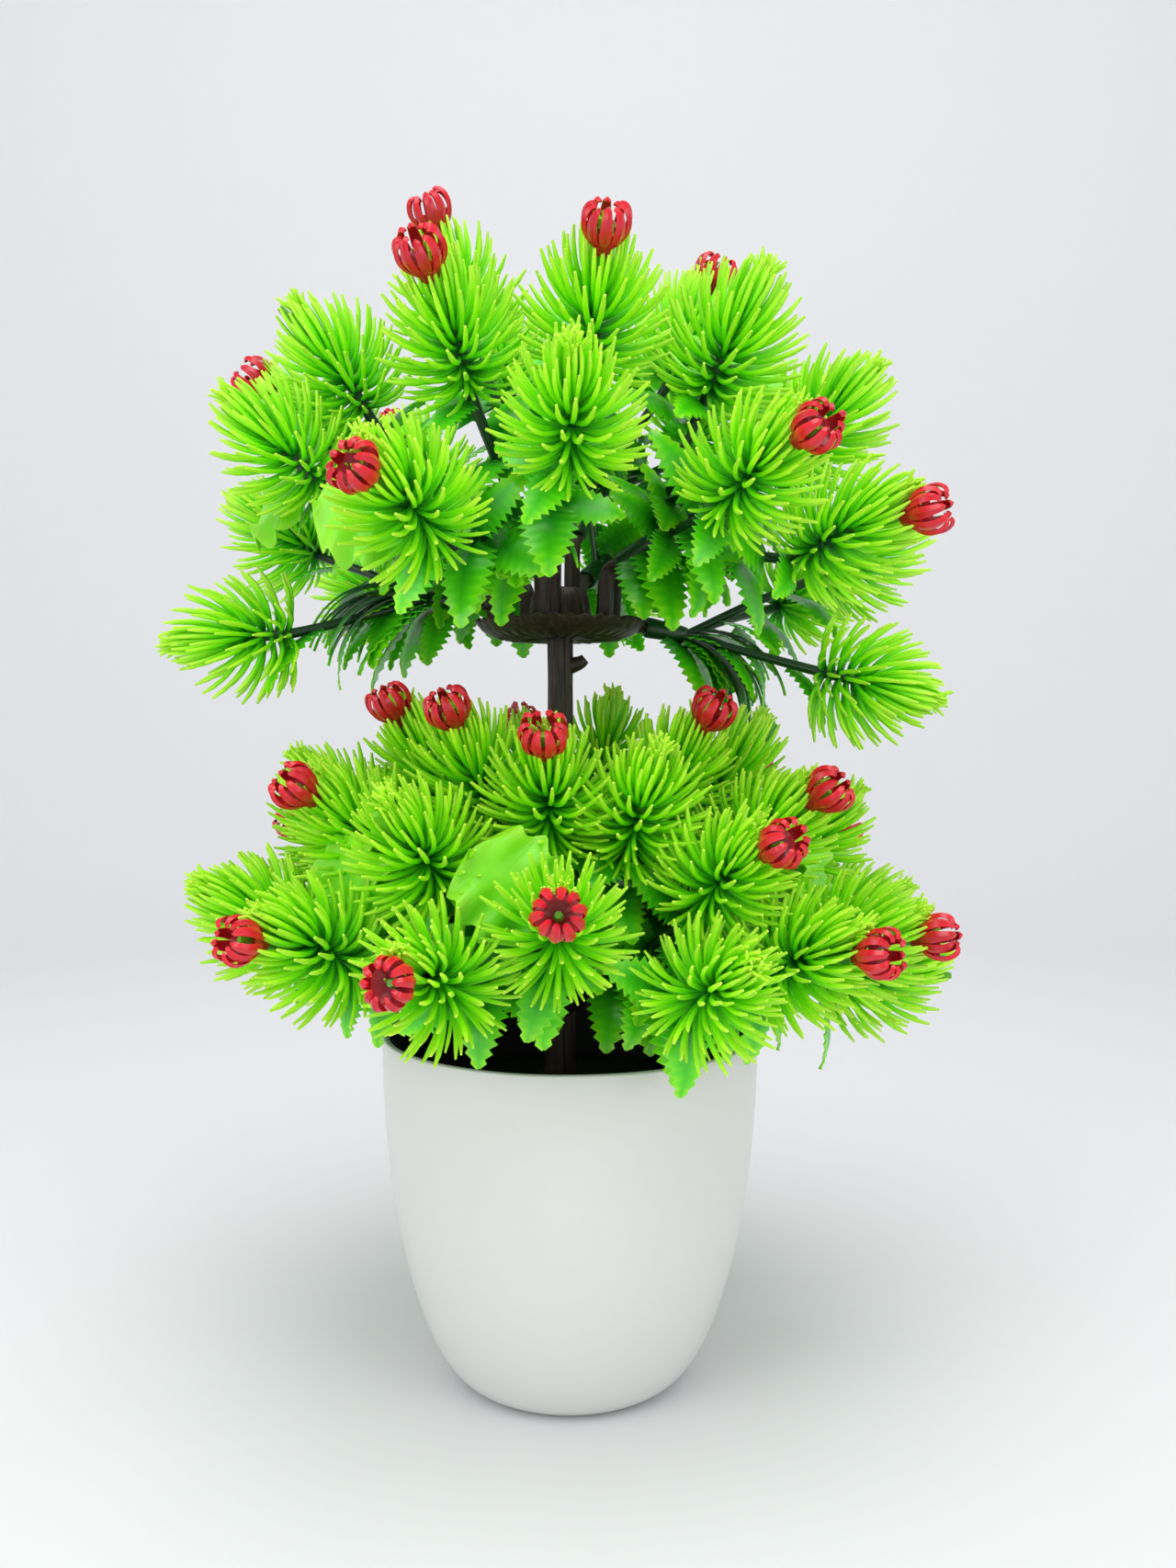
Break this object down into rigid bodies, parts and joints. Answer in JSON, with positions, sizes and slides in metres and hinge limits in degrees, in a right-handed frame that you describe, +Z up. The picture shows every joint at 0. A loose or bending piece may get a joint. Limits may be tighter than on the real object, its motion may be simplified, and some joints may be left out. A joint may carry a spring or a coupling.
{
  "type": "artificial tabletop tree",
  "caption": "Tabletop tree of green plastic sprigs and red flower buds in two domes on one brown trunk, set in a round white pot.",
  "frame": {"origin": "centre of the pot's flat base, on the surface that it stands on", "axes": "+Z up along the trunk, -Y the front, +X to the right seen from the front"},
  "size_m": [0.2206, 0.2343, 0.3479],
  "materials": {
    "pot_plastic": "satin",
    "ballast_cement": "matte",
    "plug_fibre": "matte",
    "bark_plastic": "satin",
    "foliage_plastic": "satin",
    "flower_plastic": "satin"
  },
  "bodies": {
    "root": {"pot": "pot_plastic", "ballast": "ballast_cement", "fibre_plug": "plug_fibre", "trunk": "bark_plastic", "lower_hub": "bark_plastic", "upper_hub": "bark_plastic"},
    "lower_front": {"lower_front_sprig": "foliage_plastic", "lower_front_flower_1": "flower_plastic", "lower_front_flower_2": "flower_plastic"},
    "lower_front_right": {"lower_front_right_sprig": "foliage_plastic", "lower_front_right_flower_1": "flower_plastic", "lower_front_right_flower_2": "flower_plastic"},
    "lower_right": {"lower_right_sprig": "foliage_plastic", "lower_right_flower_1": "flower_plastic"},
    "lower_right_back": {"lower_right_back_sprig": "foliage_plastic", "lower_right_back_flower_1": "flower_plastic"},
    "lower_back_right": {"lower_back_right_sprig": "foliage_plastic"},
    "lower_back": {"lower_back_sprig": "foliage_plastic", "lower_back_flower_1": "flower_plastic"},
    "lower_back_left": {"lower_back_left_sprig": "foliage_plastic"},
    "lower_left_back": {"lower_left_back_sprig": "foliage_plastic", "lower_left_back_flower_1": "flower_plastic"},
    "lower_left": {"lower_left_sprig": "foliage_plastic"},
    "lower_front_left": {"lower_front_left_sprig": "foliage_plastic", "lower_front_left_flower_1": "flower_plastic", "lower_front_left_flower_2": "flower_plastic"},
    "lower_top_front": {"lower_top_front_sprig": "foliage_plastic", "lower_top_front_flower_1": "flower_plastic"},
    "lower_top_front_right": {"lower_top_front_right_sprig": "foliage_plastic", "lower_top_front_right_flower_1": "flower_plastic", "lower_top_front_right_flower_2": "flower_plastic"},
    "lower_top_right": {"lower_top_right_sprig": "foliage_plastic", "lower_top_right_flower_1": "flower_plastic"},
    "lower_top_back": {"lower_top_back_sprig": "foliage_plastic", "lower_top_back_flower_1": "flower_plastic", "lower_top_back_flower_2": "flower_plastic"},
    "lower_top_left": {"lower_top_left_sprig": "foliage_plastic", "lower_top_left_flower_1": "flower_plastic", "lower_top_left_flower_2": "flower_plastic"},
    "upper_front_left": {"upper_front_left_sprig": "foliage_plastic", "upper_front_left_flower_1": "flower_plastic", "upper_front_left_flower_2": "flower_plastic"},
    "upper_front_right": {"upper_front_right_sprig": "foliage_plastic", "upper_front_right_flower_1": "flower_plastic", "upper_front_right_flower_2": "flower_plastic"},
    "upper_right": {"upper_right_sprig": "foliage_plastic"},
    "upper_right_high": {"upper_right_high_sprig": "foliage_plastic"},
    "upper_back_right": {"upper_back_right_sprig": "foliage_plastic", "upper_back_right_flower_1": "flower_plastic"},
    "upper_back_left": {"upper_back_left_sprig": "foliage_plastic", "upper_back_left_flower_1": "flower_plastic"},
    "upper_left": {"upper_left_sprig": "foliage_plastic"},
    "upper_left_high": {"upper_left_high_sprig": "foliage_plastic", "upper_left_high_flower_1": "flower_plastic"},
    "upper_top_front": {"upper_top_front_sprig": "foliage_plastic", "upper_top_front_flower_1": "flower_plastic", "upper_top_front_flower_2": "flower_plastic"},
    "upper_top_back": {"upper_top_back_sprig": "foliage_plastic", "upper_top_back_flower_1": "flower_plastic"}
  },
  "joints": [
    {"name": "lower_front_pull_off", "type": "slide", "parent": "root", "child": "lower_front", "axis": [-0.2096, -0.8988, 0.3851], "range_m": [0, 0.011]},
    {"name": "lower_front_right_pull_off", "type": "slide", "parent": "root", "child": "lower_front_right", "axis": [0.5364, -0.8084, 0.2426], "range_m": [0, 0.011]},
    {"name": "lower_right_pull_off", "type": "slide", "parent": "root", "child": "lower_right", "axis": [0.934, -0.2226, 0.2796], "range_m": [0, 0.011]},
    {"name": "lower_right_back_pull_off", "type": "slide", "parent": "root", "child": "lower_right_back", "axis": [0.9203, 0.3564, 0.1613], "range_m": [0, 0.011]},
    {"name": "lower_back_right_pull_off", "type": "slide", "parent": "root", "child": "lower_back_right", "axis": [0.4347, 0.8339, 0.34], "range_m": [0, 0.011]},
    {"name": "lower_back_pull_off", "type": "slide", "parent": "root", "child": "lower_back", "axis": [0.0784, 0.9102, 0.4068], "range_m": [0, 0.011]},
    {"name": "lower_back_left_pull_off", "type": "slide", "parent": "root", "child": "lower_back_left", "axis": [-0.3845, 0.8792, 0.2814], "range_m": [0, 0.011]},
    {"name": "lower_left_back_pull_off", "type": "slide", "parent": "root", "child": "lower_left_back", "axis": [-0.8981, 0.3823, 0.2172], "range_m": [0, 0.011]},
    {"name": "lower_left_pull_off", "type": "slide", "parent": "root", "child": "lower_left", "axis": [-0.8898, -0.1332, 0.4365], "range_m": [0, 0.011]},
    {"name": "lower_front_left_pull_off", "type": "slide", "parent": "root", "child": "lower_front_left", "axis": [-0.7373, -0.5725, 0.3587], "range_m": [0, 0.011]},
    {"name": "lower_top_front_pull_off", "type": "slide", "parent": "root", "child": "lower_top_front", "axis": [0.1243, -0.7137, 0.6894], "range_m": [0, 0.011]},
    {"name": "lower_top_front_right_pull_off", "type": "slide", "parent": "root", "child": "lower_top_front_right", "axis": [0.62, -0.3433, 0.7055], "range_m": [0, 0.011]},
    {"name": "lower_top_right_pull_off", "type": "slide", "parent": "root", "child": "lower_top_right", "axis": [0.4199, 0.4116, 0.8089], "range_m": [0, 0.011]},
    {"name": "lower_top_back_pull_off", "type": "slide", "parent": "root", "child": "lower_top_back", "axis": [-0.3884, 0.4978, 0.7754], "range_m": [0, 0.011]},
    {"name": "lower_top_left_pull_off", "type": "slide", "parent": "root", "child": "lower_top_left", "axis": [-0.3829, -0.4187, 0.8235], "range_m": [0, 0.011]},
    {"name": "upper_front_left_pull_off", "type": "slide", "parent": "root", "child": "upper_front_left", "axis": [-0.2344, -0.874, 0.4256], "range_m": [0, 0.011]},
    {"name": "upper_front_right_pull_off", "type": "slide", "parent": "root", "child": "upper_front_right", "axis": [0.6781, -0.5899, 0.4383], "range_m": [0, 0.011]},
    {"name": "upper_right_pull_off", "type": "slide", "parent": "root", "child": "upper_right", "axis": [0.9632, 0.2093, -0.1686], "range_m": [0, 0.011]},
    {"name": "upper_right_high_pull_off", "type": "slide", "parent": "root", "child": "upper_right_high", "axis": [0.8069, -0.0576, 0.5878], "range_m": [0, 0.011]},
    {"name": "upper_back_right_pull_off", "type": "slide", "parent": "root", "child": "upper_back_right", "axis": [0.2853, 0.8476, 0.4473], "range_m": [0, 0.011]},
    {"name": "upper_back_left_pull_off", "type": "slide", "parent": "root", "child": "upper_back_left", "axis": [-0.5377, 0.763, 0.3587], "range_m": [0, 0.011]},
    {"name": "upper_left_pull_off", "type": "slide", "parent": "root", "child": "upper_left", "axis": [-0.996, -0.0036, 0.0891], "range_m": [0, 0.011]},
    {"name": "upper_left_high_pull_off", "type": "slide", "parent": "root", "child": "upper_left_high", "axis": [-0.8285, -0.2026, 0.522], "range_m": [0, 0.011]},
    {"name": "upper_top_front_pull_off", "type": "slide", "parent": "root", "child": "upper_top_front", "axis": [-0.1017, -0.5035, 0.858], "range_m": [0, 0.011]},
    {"name": "upper_top_back_pull_off", "type": "slide", "parent": "root", "child": "upper_top_back", "axis": [0.1741, 0.4011, 0.8993], "range_m": [0, 0.011]}
  ]
}
